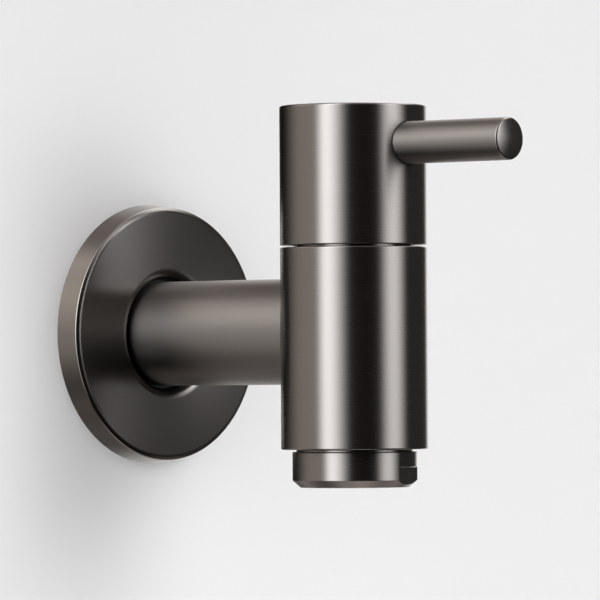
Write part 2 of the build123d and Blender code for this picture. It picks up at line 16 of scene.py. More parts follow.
import bpy
import numpy as np
from mathutils import Matrix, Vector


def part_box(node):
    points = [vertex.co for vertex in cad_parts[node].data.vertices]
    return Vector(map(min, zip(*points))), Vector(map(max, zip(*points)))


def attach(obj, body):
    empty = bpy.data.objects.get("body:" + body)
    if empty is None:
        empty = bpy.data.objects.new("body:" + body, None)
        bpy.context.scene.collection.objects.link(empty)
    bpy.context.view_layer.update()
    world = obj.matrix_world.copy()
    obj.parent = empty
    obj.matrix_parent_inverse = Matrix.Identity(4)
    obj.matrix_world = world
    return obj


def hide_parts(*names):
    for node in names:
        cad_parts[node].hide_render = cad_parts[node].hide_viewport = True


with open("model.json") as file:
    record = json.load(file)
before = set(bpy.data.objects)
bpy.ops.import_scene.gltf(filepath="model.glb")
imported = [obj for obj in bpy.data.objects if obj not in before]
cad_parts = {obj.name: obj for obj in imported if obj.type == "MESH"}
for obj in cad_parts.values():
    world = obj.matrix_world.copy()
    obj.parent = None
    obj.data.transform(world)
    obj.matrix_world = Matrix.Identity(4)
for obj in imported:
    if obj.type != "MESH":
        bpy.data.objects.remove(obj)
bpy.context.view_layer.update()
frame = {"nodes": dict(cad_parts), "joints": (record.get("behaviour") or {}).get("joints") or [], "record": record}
nodes = frame["nodes"]
joints = {joint["name"]: joint for joint in frame["joints"]}
slots = {material["slot"]: material for material in frame["record"]["materials"]}
print("CAD nodes:", len(nodes), "joints:", sorted(joints))

# %% [markdown]
# ## Sizes from the frame
#
# Blender works in metres, but a faucet is drawn in millimetres, so every outline below
# is in millimetres and becomes metres only when it is put into a mesh. The boxes of the
# CAD nodes give the radii and heights of the pieces that show. Two pieces that sit on
# each other are drawn a twentieth of a millimetre apart, so that they never cut in.

# %% Measure the CAD nodes
mm = 0.001
part_gap = 0.05


def box_mm(node):
    """Lowest and highest corner of a CAD node, in millimetres."""
    low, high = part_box(node)
    return np.array(low) / mm, np.array(high) / mm


body_low, body_high = box_mm("faucet_body")
handle_low, handle_high = box_mm("handle_shell")
lever_low, lever_high = box_mm("lever_rod")
flange_low, flange_high = box_mm("escutcheon")
shank_low, shank_high = box_mm("inlet_shank")
aerator_low, aerator_high = box_mm("aerator_housing")

body_r = (body_high[0] - body_low[0]) / 2
wall_to_axis = -(body_low[1] + body_high[1]) / 2
body_bottom, body_top = body_low[2], body_high[2]
handle_bottom, handle_top = handle_low[2], handle_high[2]
lever_r = (lever_high[2] - lever_low[2]) / 2
lever_z = (lever_high[2] + lever_low[2]) / 2
shank_r = (shank_high[0] - shank_low[0]) / 2
print(f"body radius {body_r:.2f} mm, axis {wall_to_axis:.2f} mm from the wall")

# %% [markdown]
# ## Three lathe axes
#
# Every piece was turned about one of three axes: the upright one through body, handle
# and aerator, the inlet's through pipe and flange, and the lever's. An axis is kept as
# an origin and three directions, of which the last runs along the axis. The lever rests
# a few degrees off its closed stop, and the joint's lower limit says how many.

# %% Name the axes
Lathe = namedtuple("Lathe", "origin across away along")
rest_turn = math.radians(-joints["handle_turn"]["range_deg"][0])
x_way, y_way, z_way = np.eye(3)
lever_way = np.array([math.sin(rest_turn), -math.cos(rest_turn), 0.0])
lever_across = np.array([math.cos(rest_turn), math.sin(rest_turn), 0.0])

upright = Lathe(np.array([0.0, -wall_to_axis, 0.0]), x_way, y_way, z_way)
inlet = Lathe(np.zeros(3), x_way, z_way, -y_way)
lever = Lathe(np.array([0.0, -wall_to_axis, lever_z]), lever_across, z_way, lever_way)
print("lever rests", round(math.degrees(rest_turn), 2), "degrees from its closed stop")

# %% [markdown]
# ## The camera first
#
# The photograph was taken from the left front with a long lens, a little below the
# level of the inlet, so all upright edges stay nearly parallel. The camera looks at the
# body's axis, and is then moved sideways and down to leave the object off centre.

# %% Place the camera
camera_turn = math.radians(-45.8)
camera_rise = math.radians(-0.9)
camera_roll = math.radians(-0.35)
camera_distance = 1346.0
camera_right_shift = 12.12
camera_up_shift = -6.90

towards_camera = np.array([
    math.sin(camera_turn) * math.cos(camera_rise),
    -math.cos(camera_turn) * math.cos(camera_rise),
    math.sin(camera_rise),
])
level_right = np.cross(z_way, towards_camera)
level_right /= np.linalg.norm(level_right)
level_up = np.cross(towards_camera, level_right)
camera_right = math.cos(camera_roll) * level_right + math.sin(camera_roll) * level_up
camera_up = math.cos(camera_roll) * level_up - math.sin(camera_roll) * level_right
camera_place = (
    upright.origin
    + camera_distance * towards_camera
    - camera_right_shift * camera_right
    - camera_up_shift * camera_up
)

camera_data = bpy.data.cameras.new("photo_camera")
camera_data.sensor_width = 36.0
camera_data.lens = 360.0
camera_data.clip_start = 0.05
camera_data.clip_end = 20.0
camera = bpy.data.objects.new("photo_camera", camera_data)
axes = np.column_stack([camera_right, camera_up, towards_camera])
camera.matrix_world = Matrix.Translation(camera_place * mm) @ Matrix(axes.tolist()).to_4x4()
bpy.context.scene.collection.objects.link(camera)
bpy.context.scene.camera = camera
print("camera at", np.round(camera_place * mm, 3), "m")

# %% [markdown]
# ## From grids of points to a mesh
#
# A surface is a grid of points: rows run along the outline, columns run round the axis.
# Four neighbours make a face. Points at the same place are then made one, which closes
# the seam, turns a row on the axis into a fan, and joins grids that share an edge. The
# signed volume tells whether the faces point outwards, and if not they are all turned.

# %% Turn grids into a piece
weld_size = 1e-4
sharp_angle = math.radians(30)


def grid_faces(rows, columns, first):
    """Corner numbers of the faces of one grid whose points start at number first."""
    index = first + np.arange(rows * columns).reshape(rows, columns)
    corners = [index[:-1, :-1], index[:-1, 1:], index[1:, 1:], index[1:, :-1]]
    return np.stack(corners, axis=-1).reshape(-1, 4)


def make_piece(name, *grids):
    """One closed mesh from grids of points in millimetres, each rows by columns by three."""
    firsts = np.cumsum([0] + [grid.shape[0] * grid.shape[1] for grid in grids])
    faces = [grid_faces(g.shape[0], g.shape[1], first) for g, first in zip(grids, firsts)]
    points = np.concatenate([grid.reshape(-1, 3) for grid in grids])
    keys = np.round(points / weld_size).astype(np.int64)
    _, kept, welded = np.unique(keys, axis=0, return_index=True, return_inverse=True)
    points = points[kept]
    quads = welded.reshape(-1)[np.concatenate(faces)]
    doubled = quads == np.roll(quads, -1, axis=1)
    shut_sides = doubled.sum(axis=1)
    triangles = quads[shut_sides == 1]
    triangles = triangles[~doubled[shut_sides == 1]].reshape(-1, 3)
    quads = quads[shut_sides == 0]
    fans = np.concatenate([quads[:, :3], quads[:, [0, 2, 3]], triangles])
    corner = points[fans] - points.mean(axis=0)
    volume = np.einsum("ij,ij->i", corner[:, 0], np.cross(corner[:, 1], corner[:, 2])).sum() / 6
    if volume < 0:
        quads, triangles = quads[:, ::-1], triangles[:, ::-1]
    mesh = bpy.data.meshes.new(name)
    mesh.from_pydata((points * mm).tolist(), [], quads.tolist() + triangles.tolist())
    mesh.validate()
    mesh.shade_smooth()
    mesh.set_sharp_from_angle(angle=sharp_angle)
    piece = bpy.data.objects.new(name, mesh)
    bpy.context.scene.collection.objects.link(piece)
    print(f"{name}: {len(points)} points, {abs(volume) / 1000:.2f} cm3")
    return piece


# %% [markdown]
# ## Outlines with rounded corners
#
# No edge of a real piece is perfectly sharp, and on metal it is the tiny rounding that
# catches the light. An outline is a closed ring of corners, each with its own radius,
# and `rounded` swaps each corner for an arc. A point just past each end of an arc keeps
# the shading of the long straight side flat.

# %% Round and turn outlines
columns_round = 256


def rounded(corners, arc_steps=7, hold=0.04):
    """A closed outline from rows of (x, y, radius).

    With h half the angle at a corner, the arc starts radius / tan h before the corner,
    its centre lies radius / sin h along the bisector, and its points are the weighted
    sum of the two end arms that keeps their length.
    """
    corners = np.array(corners, float)
    outline = []
    for index, (x, y, radius) in enumerate(corners):
        corner = np.array([x, y])
        if radius == 0:
            outline.append(corner[None])
            continue
        back = corners[index - 1, :2] - corner
        ahead = corners[(index + 1) % len(corners), :2] - corner
        back /= np.linalg.norm(back)
        ahead /= np.linalg.norm(ahead)
        half = math.acos(np.clip(back @ ahead, -1, 1)) / 2
        reach = radius / math.tan(half)
        middle = (back + ahead) / np.linalg.norm(back + ahead)
        centre = corner + middle * radius / math.sin(half)
        first_arm = corner + back * reach - centre
        last_arm = corner + ahead * reach - centre
        sweep = math.pi - 2 * half
        share = np.linspace(0, 1, arc_steps + 1)[:, None]
        arms = np.sin((1 - share) * sweep) * first_arm + np.sin(share * sweep) * last_arm
        outline.append(corner + back[None] * (reach + hold))
        outline.append(centre + arms / math.sin(sweep))
        outline.append(corner + ahead[None] * (reach + hold))
    return np.concatenate(outline)


def turn_points(lathe, radius, height, angle):
    """Points at a radius and an angle about the axis, at a height along it.

    point = origin + radius * (cos angle * across + sin angle * away) + height * along
    """
    radius, height, angle = np.broadcast_arrays(radius, height, angle)
    return (
        lathe.origin
        + (radius * np.cos(angle))[..., None] * lathe.across
        + (radius * np.sin(angle))[..., None] * lathe.away
        + height[..., None] * lathe.along
    )


def round_angles(columns=columns_round):
    """Angles once round, with the first one repeated at the end."""
    return np.linspace(0, 2 * math.pi, columns + 1)


def turned(lathe, outline):
    """The grid of a closed outline of (radius, height) turned once round the axis."""
    ring = np.concatenate([outline, outline[:1]])
    return turn_points(lathe, ring[:, :1], ring[:, 1:], round_angles()[None])


def drill(piece, cutter):
    """Cuts one closed mesh out of another and keeps only the result."""
    bore = piece.modifiers.new("bore", "BOOLEAN")
    bore.object = cutter
    bore.solver = "EXACT"
    evaluated = piece.evaluated_get(bpy.context.evaluated_depsgraph_get())
    drilled = bpy.data.meshes.new_from_object(evaluated)
    piece.modifiers.clear()
    piece.data = drilled
    drilled.shade_smooth()
    drilled.set_sharp_from_angle(angle=sharp_angle)
    bpy.data.objects.remove(cutter)


# %% [markdown]
# ## Faucet body
#
# The body is a plain turned column with edges rounded by less than a millimetre. Its
# inside is drawn too, because the inlet can be looked into from the wall: the thread
# bore for the valve on top, the valve chamber, the outlet and the recess for the
# aerator. A cylinder with a Bevel modifier would do for the outside alone, but one
# outline turned round the axis gives all of it. The stepped bore for the inlet pipe is
# then drilled into its back.

# %% Make the faucet body
body_edge = 0.35
bore_edge = 0.12
valve_ring_r, valve_ring_depth = 11.1055, 1.74
valve_thread_r, valve_thread_length = 10.53, 6.9
chamber_r, seat_z = 9.416, -10.5
outlet_r = 5.5
recess_r, recess_depth, recess_lead = 12.05, 9.0, 0.4
spigot_bore_r, spigot_seat, waterway_r = 8.55, 11.0, 7.0
past_wall = 1.0

valve_ring_floor = body_top - valve_ring_depth
valve_thread_end = valve_ring_floor - valve_thread_length
recess_top = body_bottom + recess_depth
body_outline = rounded([
    (outlet_r, recess_top, 0),
    (recess_r, recess_top, 0),
    (recess_r, body_bottom + recess_lead, 0),
    (recess_r + recess_lead, body_bottom, bore_edge),
    (body_r, body_bottom, body_edge),
    (body_r, body_top, body_edge),
    (valve_ring_r, body_top, bore_edge),
    (valve_ring_r, valve_ring_floor, 0),
    (valve_thread_r, valve_ring_floor, 0),
    (valve_thread_r, valve_thread_end, 0),
    (chamber_r, valve_thread_end, 0),
    (chamber_r, seat_z, 0),
    (outlet_r, seat_z, 0),
])
faucet_body = make_piece("dressed_faucet_body", turned(upright, body_outline))

bore_outline = np.array([
    (0, wall_to_axis),
    (waterway_r, wall_to_axis),
    (waterway_r, wall_to_axis - spigot_seat),
    (spigot_bore_r, wall_to_axis - spigot_seat),
    (spigot_bore_r, wall_to_axis - body_r - past_wall),
    (0, wall_to_axis - body_r - past_wall),
])
drill(faucet_body, make_piece("inlet_drill", turned(inlet, bore_outline)))
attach(faucet_body, "column")
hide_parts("faucet_body")

# %% [markdown]
# ## Handle cap
#
# The cap has the body's diameter, a slightly crowned top and a rounded upper edge. The
# lever stands in a counterbore whose mouth follows the round wall, with a broken edge
# that shows as a thin bright line in the photograph. Moving points of the wall to make
# a round mouth would dent its shading, so a cutter with a flared mouth makes it. The
# cutter's rim follows the wall, at sqrt(wall radius^2 - sideways^2) from the axis.

# %% Make the handle cap
crown_rise, crown_start, crown_rows = 0.25, 0.92, 12
handle_edge, handle_lower_edge, cavity_edge = 0.5, 0.2, 0.15
cavity_r, cavity_top = 13.8, 35.41
socket_r, socket_top = 4.05, 45.0
lever_seat_r, lever_seat_depth = 4.8, 1.1
stud_hole_r, stud_hole_end = 3.0, 4.2
mouth_edge, mouth_sweep, mouth_rows, mouth_sink = 0.42, 65, 7, 0.9
cutter_flare, cutter_end = 2.0, 18.5

crown_r = (body_r**2 + crown_rise**2) / (2 * crown_rise)
crown_across = np.linspace(crown_start * body_r, 0, crown_rows)
crown_height = handle_top - crown_r + np.sqrt(crown_r**2 - crown_across**2)
crown = [(r, z, 0) for r, z in zip(crown_across, crown_height)]
handle_outline = rounded([
    (cavity_r, handle_bottom, cavity_edge),
    (body_r, handle_bottom, handle_lower_edge),
    (body_r, handle_top - crown_rise, handle_edge),
    *crown,
    (0, socket_top, 0),
    (socket_r, socket_top, 0),
    (socket_r, cavity_top, 0),
    (cavity_r, cavity_top, 0),
])
handle_shell = make_piece("dressed_handle_shell", turned(upright, handle_outline))


def wall_reach(radius, angle):
    """How far out the handle's round wall lies, at a radius and an angle about the lever."""
    return np.sqrt(body_r**2 - (radius * np.cos(angle)) ** 2)


mouth_angles = round_angles(128)[None]
mouth_turn = np.radians(np.linspace(0, mouth_sweep, mouth_rows))[:, None]
mouth_r = lever_seat_r + mouth_edge * (1 - np.cos(mouth_turn))
mouth_rim = wall_reach(lever_seat_r + mouth_edge / 2, mouth_angles)
mouth_out = mouth_rim - mouth_edge * (mouth_sink - np.sin(mouth_turn))
mouth = turn_points(lever, mouth_r, mouth_out, mouth_angles)
seat_out = body_r - lever_seat_depth
inner = turn_points(
    lever,
    np.array([[0.0], [stud_hole_r], [stud_hole_r], [lever_seat_r]]),
    np.array([[stud_hole_end], [stud_hole_end], [seat_out], [seat_out]]),
    mouth_angles,
)
lid = turn_points(
    lever,
    np.array([[lever_seat_r + cutter_flare], [0.0]]),
    np.array([[cutter_end], [cutter_end]]),
    mouth_angles,
)
cutter = np.concatenate([inner, mouth, lid])
drill(handle_shell, make_piece("lever_drill", cutter))
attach(handle_shell, "handle")
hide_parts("handle_shell")

# %% [markdown]
# ## Lever
#
# A round rod with a slightly domed end. The dome shows in the photograph as a light
# half and a dark half on the end face. A flat end would show one tone, so the outline
# ends in the arc of a large circle. The stud behind the rod screws into the cap.

# %% Make the lever
lever_reach = 46.0
stud_r, stud_end = 2.95, 10.4
lever_root = seat_out + part_gap
lever_edge, root_edge, stud_edge = 0.6, 0.1, 0.2
dome_rise, dome_start, dome_rows = 0.55, 0.8, 10

dome_r = (lever_r**2 + dome_rise**2) / (2 * dome_rise)
dome_across = np.linspace(dome_start * lever_r, 0, dome_rows)
dome_out = lever_reach - dome_r + np.sqrt(dome_r**2 - dome_across**2)
lever_outline = rounded([
    (0, stud_end, 0),
    (stud_r, stud_end, stud_edge),
    (stud_r, lever_root, 0),
    (lever_r, lever_root, root_edge),
    (lever_r, lever_reach - dome_rise, lever_edge),
    *[(r, out, 0) for r, out in zip(dome_across, dome_out)],
])
lever_rod = make_piece("dressed_lever_rod", turned(lever, lever_outline))
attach(lever_rod, "handle")
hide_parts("lever_rod")

# %% [markdown]
# ## Pipe threads
#
# A thread is a radius that depends on height and angle. The phase, height / pitch minus
# the share of a turn, runs from 0 to 1 in each groove. Folded at its middle it is a
# zigzag, and a clipped zigzag, smoothed, is the rounded crest and root of a pipe thread.
# The thread fades to its root at both ends, as it does where a die starts and stops.
# A profile swept along a helix would look the same, but a radius over height and angle
# stays one closed surface with the pipe.

# %% Work out a thread
def thread_radius(height, angle, crest, depth, pitch, low, high, flat=0.14, fade_turns=0.8):
    """Radius of a right-hand thread whose turns lie between two heights.

    flat is the share of the zigzag that is clipped at the crest and at the root.
    """
    phase = np.mod(height / pitch - angle / (2 * math.pi), 1.0)
    zigzag = 1 - np.abs(2 * phase - 1)
    ridge = np.clip((zigzag - flat) / (1 - 2 * flat), 0, 1)
    ridge = ridge * ridge * (3 - 2 * ridge)
    fade_in = np.clip((height - low) / (fade_turns * pitch), 0, 1)
    fade_out = np.clip((high - height) / (fade_turns * pitch), 0, 1)
    return crest - depth * (1 - ridge * np.minimum(fade_in, fade_out))


# %% [markdown]
# ## Inlet pipe
#
# The pipe ends in a saddle that fits the round body. A cutter could make it, but the
# height of that end as a function of the angle keeps the rows even: the body's wall is
# sqrt(body radius^2 - sideways^2) in front of the body's axis. Behind the wall the pipe
# carries the G1/2 thread, and water flows through it.

# %% Make the inlet pipe
pipe_crest, pipe_depth, pipe_pitch = 10.4775, 1.162, 1.814
pipe_end = -shank_high[1]
shoulder_out, shoulder_edge = 1.0, 0.25
thread_start, thread_rows = -1.3, 150
spigot_r, spigot_end = 8.5, wall_to_axis - spigot_seat - part_gap
saddle_rows, row_hold = 6, 0.05

pipe_angles = round_angles()[None]
pipe_root = pipe_crest - pipe_depth
side_end = shoulder_out + shoulder_edge + row_hold


def saddle_out(radius):
    """Distance from the wall of the saddle face, at a radius about the pipe's axis."""
    sideways = radius * np.cos(pipe_angles)
    return wall_to_axis - np.sqrt((body_r + part_gap) ** 2 - sideways**2)


def pipe_rows(radii, outs):
    """Rows of the pipe's surface from matching lists of radii and distances."""
    outs = [np.broadcast_to(out, pipe_angles.shape) for out in outs]
    return turn_points(inlet, np.array(radii)[:, None], np.concatenate(outs), pipe_angles)


saddle_radii = np.linspace(spigot_r, shank_r, saddle_rows)
front = pipe_rows(
    [waterway_r, spigot_r, *saddle_radii, shank_r, shank_r],
    [
        spigot_end,
        spigot_end,
        *[saddle_out(radius) for radius in saddle_radii],
        saddle_out(shank_r) - row_hold,
        side_end,
    ],
)
shoulder = pipe_rows(
    [shank_r, shank_r, shank_r - shoulder_edge, pipe_root, pipe_root],
    [side_end, shoulder_out + shoulder_edge, shoulder_out, shoulder_out, thread_start],
)
thread_out = np.linspace(thread_start, pipe_end, thread_rows)[:, None]
thread_r = thread_radius(
    -thread_out, -pipe_angles, pipe_crest, pipe_depth, pipe_pitch, -thread_start, -pipe_end
)
thread = turn_points(inlet, thread_r, thread_out, pipe_angles)
inside = pipe_rows([pipe_root, waterway_r, waterway_r], [pipe_end, pipe_end, spigot_end])
inlet_shank = make_piece("dressed_inlet_shank", front, shoulder, thread, inside)
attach(inlet_shank, "column")
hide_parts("inlet_shank")

# %% [markdown]
# ## Escutcheon
#
# The wall flange is a shallow turned dish. Its rim leans in a little and ends in a
# narrow bevel with well rounded edges, which show as two light lines in the photograph.
# The face is crowned: it falls towards the rim as a parabola. The sheet rolls in round
# the hole, and the collar there holds a rubber ring in its groove.

# %% Make the escutcheon
rim_r = (flange_high[0] - flange_low[0]) / 2
flange_depth = flange_high[1] - flange_low[1]
rim_lean, bevel_width, bevel_depth, face_crown, sheet = 0.8, 0.9, 0.55, 0.45, 1.0
rim_edge, face_edge, hole_roll, back_edge, inner_edge = 0.5, 1.5, 2.5, 0.08, 0.3
face_start, face_end, face_rows = 0.9, 0.2, 12
hole_r, groove_r, collar_r = 12.6, 13.1, 14.1
groove_front, groove_back, collar_back = 2.9, 0.9, 0.5

front_r = rim_r - rim_lean
face_r = front_r - bevel_width
face_rim = flange_depth - face_crown
face_share = np.linspace(face_start, face_end, face_rows)
face = [
    (hole_r + share * (face_r - hole_r), flange_depth - face_crown * share**2, 0)
    for share in face_share
]
escutcheon_outline = rounded([
    (rim_r, 0, back_edge),
    (front_r, face_rim - bevel_depth, rim_edge),
    (face_r, face_rim, face_edge),
    *face,
    (hole_r, flange_depth, hole_roll),
    (hole_r, groove_front, 0),
    (groove_r, groove_front, 0),
    (groove_r, groove_back, 0),
    (hole_r, groove_back, 0),
    (hole_r, collar_back, 0),
    (collar_r, collar_back, 0),
    (collar_r, flange_depth - sheet, inner_edge),
    (front_r - sheet, face_rim - sheet, inner_edge),
    (rim_r - sheet, 0, back_edge),
])
escutcheon = make_piece("dressed_escutcheon", turned(inlet, escutcheon_outline))
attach(escutcheon, "wall_flange")
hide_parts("escutcheon")

# %% [markdown]
# ## Aerator ring
#
# The ring has a chamfer below and two flats for a spanner. A flat is a plane, and at an
# angle from its normal the plane lies at distance / cos(angle), so below the ledge the
# radius is the smaller of the turned outline's and the plane's. Columns stand exactly
# where the planes leave the round wall, and rows across the chamfer draw the curve
# where a plane cuts it. The collar above stops against the body, and the M24 thread
# goes up into it.

# %% Make the aerator ring
ring_r = (aerator_high[0] - aerator_low[0]) / 2
ring_bottom, aerator_top = aerator_low[2], aerator_high[2]
ring_height, collar_inset = 8.0, 0.9
ring_top = ring_bottom + ring_height
stop_r, stop_top = ring_r - collar_inset, body_bottom - part_gap
ring_chamfer, ring_chamfer_height = 1.75, 1.6
flat_inset, ledge_drop, ledge_step, ledge_edge = 1.05, 3.55, 0.002, 0.2
flat_distance, flat_ledge = ring_r - flat_inset, ring_top - ledge_drop
flat_turn = math.radians(-69)
neck_crest, neck_depth, neck_pitch, neck_rows = 12.0, 0.6, 1.0, 90
sleeve_r, sleeve_seat_r, sleeve_seat_z = 10.2, 11.0, -21.3
stop_edge, ring_edge, chamfer_edge, mouth_lip, sleeve_edge = 0.08, 0.3, 0.12, 0.2, 0.15
chamfer_start, chamfer_end, chamfer_steps = 0.12, 0.8, 10
least_cosine = 0.01

flat_half = math.acos(flat_distance / ring_r)
flat_edges = [flat_turn + side * flat_half + turn for side in (-1, 1) for turn in (0, math.pi)]
ring_angles = np.unique(np.concatenate([round_angles(), np.mod(flat_edges, 2 * math.pi)]))[None]
neck_root = neck_crest - neck_depth
chamfer_rows = [
    (ring_r - share * ring_chamfer, ring_bottom + (1 - share) * ring_chamfer_height, 0)
    for share in np.linspace(chamfer_start, chamfer_end, chamfer_steps)
]
ring_outline = rounded([
    (neck_root, stop_top, 0),
    (stop_r, stop_top, stop_edge),
    (stop_r, ring_top, 0),
    (ring_r, ring_top, ring_edge),
    (ring_r, flat_ledge + ledge_edge, 0),
    (ring_r, flat_ledge, 0),
    (ring_r, flat_ledge - ledge_step, 0),
    (ring_r, ring_bottom + ring_chamfer_height, chamfer_edge),
    *chamfer_rows,
    (ring_r - ring_chamfer, ring_bottom, mouth_lip),
    (sleeve_r, ring_bottom, sleeve_edge),
    (sleeve_r, sleeve_seat_z, 0),
    (sleeve_seat_r, sleeve_seat_z, 0),
    (sleeve_seat_r, aerator_top, 0),
    (neck_root, aerator_top, 0),
])
outline_r, outline_z = ring_outline[:, :1], ring_outline[:, 1:]
flat_radius = flat_distance / np.maximum(np.abs(np.cos(ring_angles - flat_turn)), least_cosine)
below_ledge = outline_z < flat_ledge - ledge_step / 2
ring_radius = np.where(below_ledge, np.minimum(outline_r, flat_radius), outline_r)
at_ledge = np.abs(outline_z - flat_ledge) < ledge_step / 2
broken_edge = np.minimum(ring_r, np.maximum(flat_radius, ring_r - ledge_edge))
ring_radius = np.where(at_ledge, broken_edge, ring_radius)
ring = turn_points(upright, ring_radius, outline_z, ring_angles)
neck_z = np.linspace(aerator_top, stop_top, neck_rows)[:, None]
neck_radius = thread_radius(
    neck_z, ring_angles, neck_crest, neck_depth, neck_pitch, stop_top, aerator_top
)
neck = turn_points(upright, neck_radius, neck_z, ring_angles)
aerator_housing = make_piece("dressed_aerator_housing", ring, neck)
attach(aerator_housing, "column")
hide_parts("aerator_housing")

# %% [markdown]
# ## Shader helpers
#
# A finish is a small tree of shader nodes. `put` adds a node and fills its inputs: an
# input that is another node's output is linked, and a number or colour is typed in.
# The others are short names for the nodes that come up most.

# %% Add shader nodes
def put(tree, kind, settings=None, **inputs):
    """Adds a shader node, sets its settings, and links or fills its inputs.

    An input is named as on the node, in small letters, or i0, i1 and so on by its place.
    """
    node = tree.nodes.new(kind)
    for key, value in (settings or {}).items():
        setattr(node, key, value)
    for key, value in inputs.items():
        enabled = [socket for socket in node.inputs if socket.enabled]
        found = [socket for socket in enabled if socket.name.replace(" ", "_").lower() == key]
        socket = found[0] if found else node.inputs[int(key[1:])]
        if isinstance(value, bpy.types.NodeSocket):
            tree.links.new(value, socket)
        else:
            socket.default_value = value
    return node


def by_place(values):
    """Inputs for `put` in the order of the node's sockets."""
    return {f"i{index}": value for index, value in enumerate(values)}


def figure(tree, operation, *values, clamp=False):
    """The output of a Math node with the given values or sockets."""
    settings = {"operation": operation, "use_clamp": clamp}
    return put(tree, "ShaderNodeMath", settings, **by_place(values)).outputs[0]


def vector_figure(tree, operation, *values):
    """The output of a Vector Math node with the given vectors or sockets."""
    settings = {"operation": operation}
    return put(tree, "ShaderNodeVectorMath", settings, **by_place(values)).outputs[0]


def mixed(tree, factor, a, b):
    """The output of a Mix node for colours: a where the factor is 0 and b where it is 1."""
    settings = {"data_type": "RGBA"}
    return put(tree, "ShaderNodeMix", settings, factor=factor, a=a, b=b).outputs["Result"]


# %% [markdown]
# ## Two patterns with the same sockets
#
# Real metal, rubber and plastic are uneven: their roughness, relief and tone change over
# the surface. Each pattern of that is a node group, built once and placed in every
# finish that needs it. Both groups have the same inputs and outputs, so one way of
# making a finish serves them all.

# %% Begin and end a pattern group
def pattern_group(name, size_name, size, roughness, spread):
    """An empty pattern group, and the sockets that it is given."""
    tree = bpy.data.node_groups.new(name, "ShaderNodeTree")
    tree.interface.new_socket("Position", in_out="INPUT", socket_type="NodeSocketVector")
    for label, value in {size_name: size, "Roughness": roughness, "Spread": spread}.items():
        socket = tree.interface.new_socket(label, in_out="INPUT", socket_type="NodeSocketFloat")
        socket.default_value = value
    for label in ("Roughness", "Height", "Tone"):
        tree.interface.new_socket(label, in_out="OUTPUT", socket_type="NodeSocketFloat")
    return tree, tree.nodes.new("NodeGroupInput").outputs


def noise(tree, place, scale, detail, roughness, drift=None):
    """The output of a Noise node, which has a fourth dimension where a drift is given."""
    inputs = {"vector": place, "scale": scale, "detail": detail, "roughness": roughness}
    if drift is not None:
        inputs["w"] = drift
    settings = {"noise_dimensions": "3D" if drift is None else "4D"}
    return put(tree, "ShaderNodeTexNoise", settings, **inputs).outputs[0]


def end_group(tree, given, height, tone):
    """Links a group's outputs, with a roughness of Roughness + Spread * (2 * tone - 1)."""
    swing = figure(tree, "MULTIPLY", figure(tree, "SUBTRACT", tone, 0.5), 2.0)
    rough_swing = figure(tree, "MULTIPLY", swing, given["Spread"])
    roughness = figure(tree, "ADD", given["Roughness"], rough_swing, clamp=True)
    results = tree.nodes.new("NodeGroupOutput").inputs
    for label, value in {"Roughness": roughness, "Height": height, "Tone": tone}.items():
        tree.links.new(value, results[label])
    print(tree.name, "group has", len(tree.nodes), "nodes")


# %% [markdown]
# ## Turned lines
#
# Satin metal that was brushed on a lathe has lines that run round the axis, on the wall
# and on the end faces alike. A noise that is read at (radius, height) in units of one
# line's width gives both. A little of the angle's cosine and sine goes in as well, so
# that each line starts and fades along its way and there is no seam.

# %% Build the group of turned lines
least_radius = 1e-5
drift_size = 2.5
fine_share = 0.7
broad_scale = 0.13

lines_group, given = pattern_group("turned lines", "Line Width", 0.00018, 0.3, 0.06)
apart = put(lines_group, "ShaderNodeSeparateXYZ", vector=given["Position"])
x_part, y_part, z_part = apart.outputs
square = figure(
    lines_group,
    "ADD",
    figure(lines_group, "MULTIPLY", x_part, x_part),
    figure(lines_group, "MULTIPLY", y_part, y_part),
)
radius = figure(lines_group, "MAXIMUM", figure(lines_group, "SQRT", square), least_radius)
ring_count = figure(lines_group, "DIVIDE", radius, given["Line Width"])
row_count = figure(lines_group, "DIVIDE", z_part, given["Line Width"])
drift_x, drift_y = [
    figure(lines_group, "MULTIPLY", figure(lines_group, "DIVIDE", side, radius), drift_size)
    for side in (x_part, y_part)
]
place = put(lines_group, "ShaderNodeCombineXYZ", x=ring_count, y=row_count, z=drift_x).outputs[0]
fine = noise(lines_group, place, scale=1.0, detail=2.0, roughness=0.6, drift=drift_y)
broad = noise(lines_group, place, scale=broad_scale, detail=1.0, roughness=0.5, drift=drift_y)
both = figure(
    lines_group,
    "ADD",
    figure(lines_group, "MULTIPLY", fine, fine_share),
    figure(lines_group, "MULTIPLY", broad, 1 - fine_share),
)
end_group(lines_group, given, height=fine, tone=both)

# %% [markdown]
# ## Moulded grain
#
# Rubber, plastic and ceramic have no lines, but a fine grain from the mould and a
# faint unevenness of colour in wider patches. One group of two noises serves them all.

# %% Build the group of moulded grain
patch_scale = 0.06

grain_group, given = pattern_group("moulded grain", "Grain Size", 0.0003, 0.5, 0.08)
grain_scale = figure(grain_group, "DIVIDE", 1.0, given["Grain Size"])
wide_scale = figure(grain_group, "MULTIPLY", grain_scale, patch_scale)
fine = noise(grain_group, given["Position"], scale=grain_scale, detail=3.0, roughness=0.6)
broad = noise(grain_group, given["Position"], scale=wide_scale, detail=2.0, roughness=0.5)
end_group(grain_group, given, height=fine, tone=broad)

# %% [markdown]
# ## From a pattern to a finish
#
# A finish is one of the two patterns in front of a Principled shader. Object coordinates
# are the place in metres, since all pieces keep their place in their mesh. For turned
# pieces a Mapping node moves and turns them so that the lathe's axis becomes Z. The
# shader's tangent runs round that axis, along the lines.

